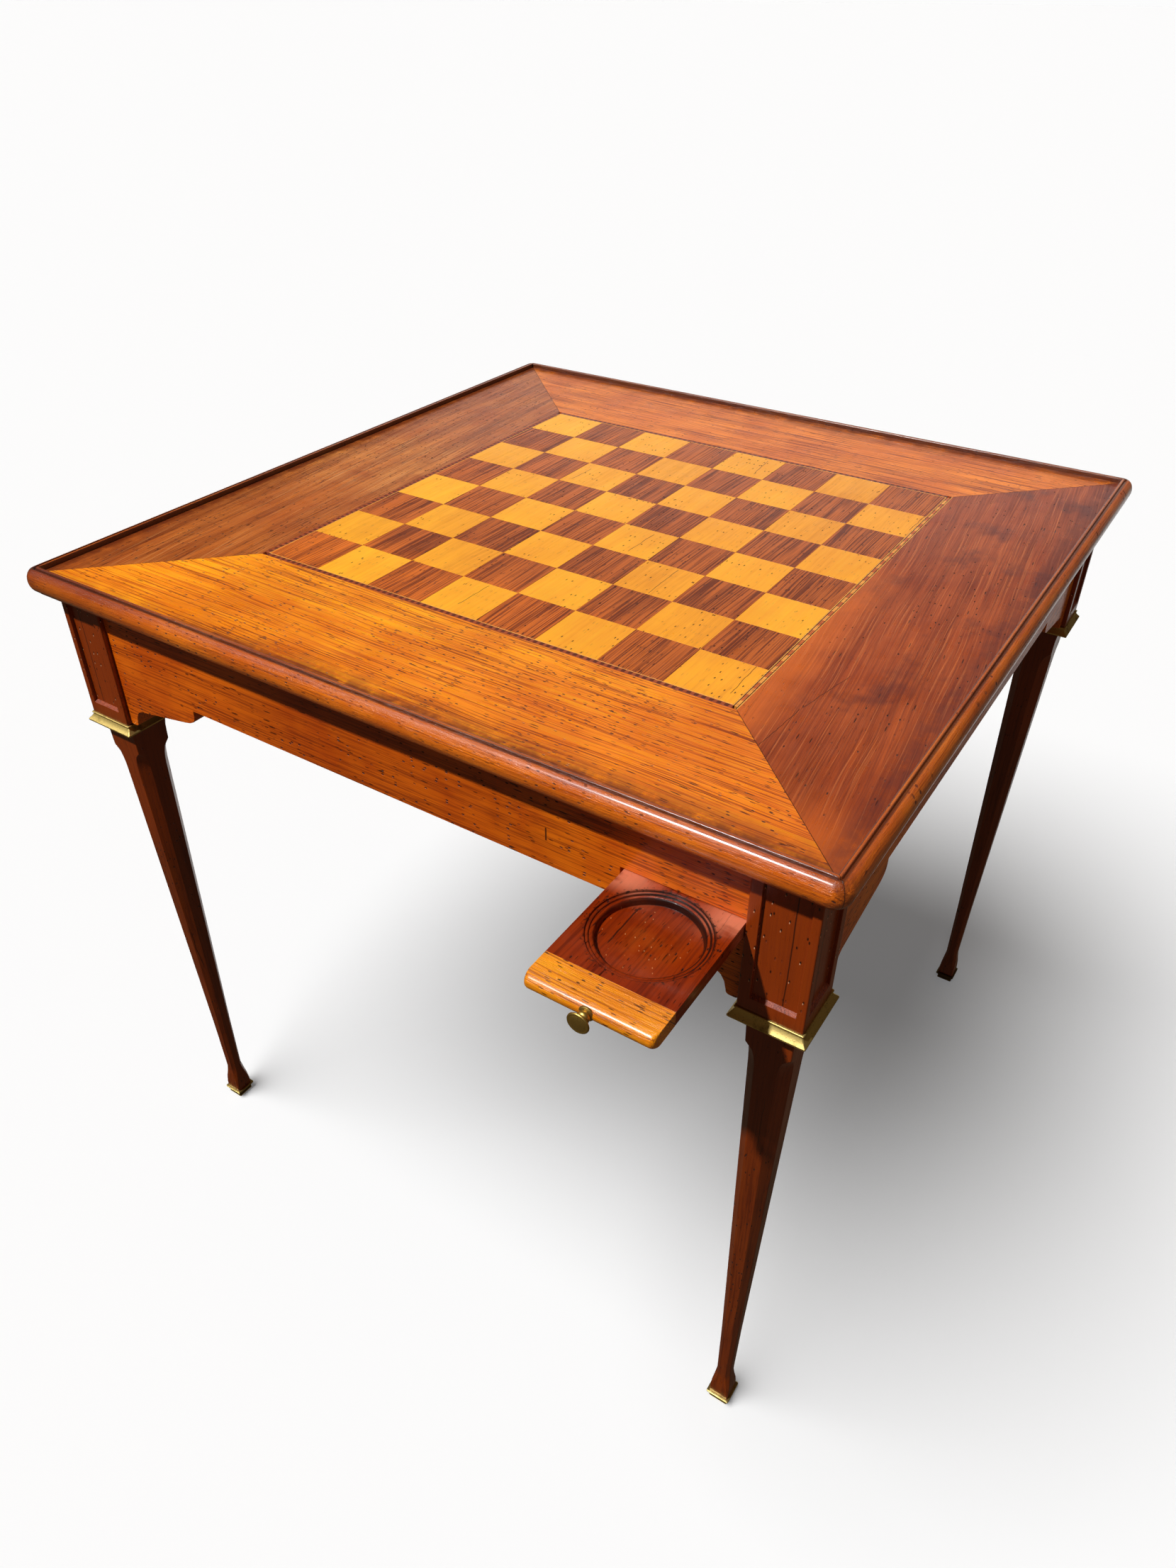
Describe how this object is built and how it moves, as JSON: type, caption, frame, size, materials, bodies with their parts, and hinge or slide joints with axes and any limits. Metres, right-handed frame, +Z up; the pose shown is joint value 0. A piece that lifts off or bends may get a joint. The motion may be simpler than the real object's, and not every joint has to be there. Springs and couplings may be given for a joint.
{
  "type": "games table",
  "caption": "Square games table: a lift-off chessboard top over a backgammon-like well, a pull-out candle slide at the front and back, and slender tapered legs in brass shoes.",
  "frame": {"origin": "on the floor, under the middle of the table", "axes": "+Y from the front player's side to the back player's side, along the travel of both slides; +X to the front player's right; +Z up"},
  "size_m": [0.803, 1.0268, 0.7455],
  "materials": {
    "border": "polished",
    "light_square": "polished",
    "dark_square": "polished",
    "stringing": "polished",
    "rim": "gloss",
    "core": "raw",
    "baize": "matte",
    "apron": "polished",
    "leg": "polished",
    "well": "polished",
    "light_point": "polished",
    "dark_point": "polished",
    "hidden": "raw",
    "slide": "polished",
    "clamp": "polished",
    "brass": "satin",
    "aged_brass": "aged"
  },
  "bodies": {
    "carcass": {"leg_front_right": "leg", "leg_back_right": "leg", "leg_back_left": "leg", "leg_front_left": "leg", "collar_front_right": "brass", "collar_back_right": "brass", "collar_back_left": "brass", "collar_front_left": "brass", "sabot_front_right": "brass", "sabot_back_right": "brass", "sabot_back_left": "brass", "sabot_front_left": "brass", "apron_front": "apron", "apron_right": "apron", "apron_back": "apron", "apron_left": "apron", "well_floor": "hidden", "lining_front": "well", "lining_right": "well", "lining_back": "well", "lining_left": "well", "capping_front": "well", "capping_right": "well", "capping_back": "well", "capping_left": "well", "partition_left": "well", "partition_right": "well", "bar": "well", "light_points": "light_point", "dark_points": "dark_point", "front_runner_outer": "hidden", "front_runner_inner": "hidden", "back_runner_outer": "hidden", "back_runner_inner": "hidden"},
    "top": {"top_core": "core", "border_front": "border", "border_right": "border", "border_back": "border", "border_left": "border", "dark_squares": "dark_square", "light_squares": "light_square", "stringing": "stringing", "rim_front": "rim", "rim_right": "rim", "rim_back": "rim", "rim_left": "rim", "reverse_border_front": "border", "reverse_border_right": "border", "reverse_border_back": "border", "reverse_border_left": "border", "baize_panel": "baize"},
    "front_slide": {"front_slide_body": "slide", "front_slide_clamp": "clamp", "front_slide_knob": "aged_brass", "front_slide_stop_peg": "hidden"},
    "back_slide": {"back_slide_body": "slide", "back_slide_clamp": "clamp", "back_slide_knob": "aged_brass", "back_slide_stop_peg": "hidden"}
  },
  "joints": [
    {"name": "top_lift", "type": "slide", "parent": "carcass", "child": "top", "axis": [0, 0, 1], "range_m": [0, 0.25]},
    {"name": "front_slide_pull", "type": "slide", "parent": "carcass", "child": "front_slide", "axis": [0, -1, 0], "range_m": [-0.119, 0.004]},
    {"name": "back_slide_pull", "type": "slide", "parent": "carcass", "child": "back_slide", "axis": [0, 1, 0], "range_m": [-0.119, 0.004]}
  ]
}
